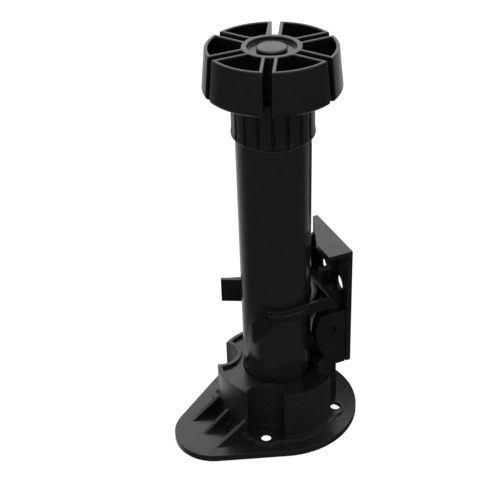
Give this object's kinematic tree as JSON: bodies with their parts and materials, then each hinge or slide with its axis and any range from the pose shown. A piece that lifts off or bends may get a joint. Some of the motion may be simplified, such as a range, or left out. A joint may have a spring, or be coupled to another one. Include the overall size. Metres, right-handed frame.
{
  "type": "furniture leveling foot",
  "caption": "Height-adjustable cabinet leg: drilled mounting plate with socket, round tube, screw-out foot disc on a swivel, and a sprung plinth clip with its bracket.",
  "frame": {"origin": "centre of the leg's axis in the mounting face, which is screwed up against the cabinet's underside and is down here", "axes": "+Z along the leg from the mounting face to the ground face, +X from the leg's axis towards the plinth board, the plate's tongue towards -X"},
  "size_m": [0.0744, 0.059, 0.15],
  "materials": {
    "plate_plastic": "black moulded plastic, satin with a fine moulded texture",
    "tube_plastic": "black moulded plastic, glossy and smooth",
    "bush_plastic": "black nylon, matte",
    "spindle_plastic": "black moulded plastic, satin, lightly greased",
    "collar_plastic": "black moulded plastic, satin",
    "disc_plastic": "black moulded plastic, satin",
    "pin_plastic": "black moulded plastic, satin",
    "clip_plastic": "black moulded plastic, satin",
    "bracket_plastic": "black moulded plastic, fine matte texture"
  },
  "bodies": {
    "leg": {"mounting_plate": "plate_plastic", "leg_tube": "tube_plastic", "thread_bush": "bush_plastic"},
    "foot": {"foot_disc": "disc_plastic"},
    "adjuster": {"spindle": "spindle_plastic", "grip_collar": "collar_plastic", "pivot_pin": "pin_plastic"},
    "clip": {"plinth_clip": "clip_plastic"},
    "bracket": {"plinth_bracket": "bracket_plastic"}
  },
  "joints": [
    {"name": "foot_height", "type": "slide", "parent": "leg", "child": "foot", "axis": [0, 0, 1], "range_m": [0, 0.03]},
    {"name": "adjuster_turn", "type": "hinge", "parent": "foot", "child": "adjuster", "pos_m": [0, 0, 0.13], "axis": [0, 0, 1], "range_deg": [0, 2160]},
    {"name": "clip_turn", "type": "hinge", "parent": "leg", "child": "clip", "pos_m": [0, 0, 0.05325], "axis": [0, 0, 1], "continuous": true},
    {"name": "bracket_slide", "type": "slide", "parent": "clip", "child": "bracket", "axis": [0, 0, 1], "range_m": [0, 0.012]}
  ],
  "couplings": [
    {"joint": "foot_height", "follows": "adjuster_turn", "m_per_rad": 0.00079577}
  ]
}
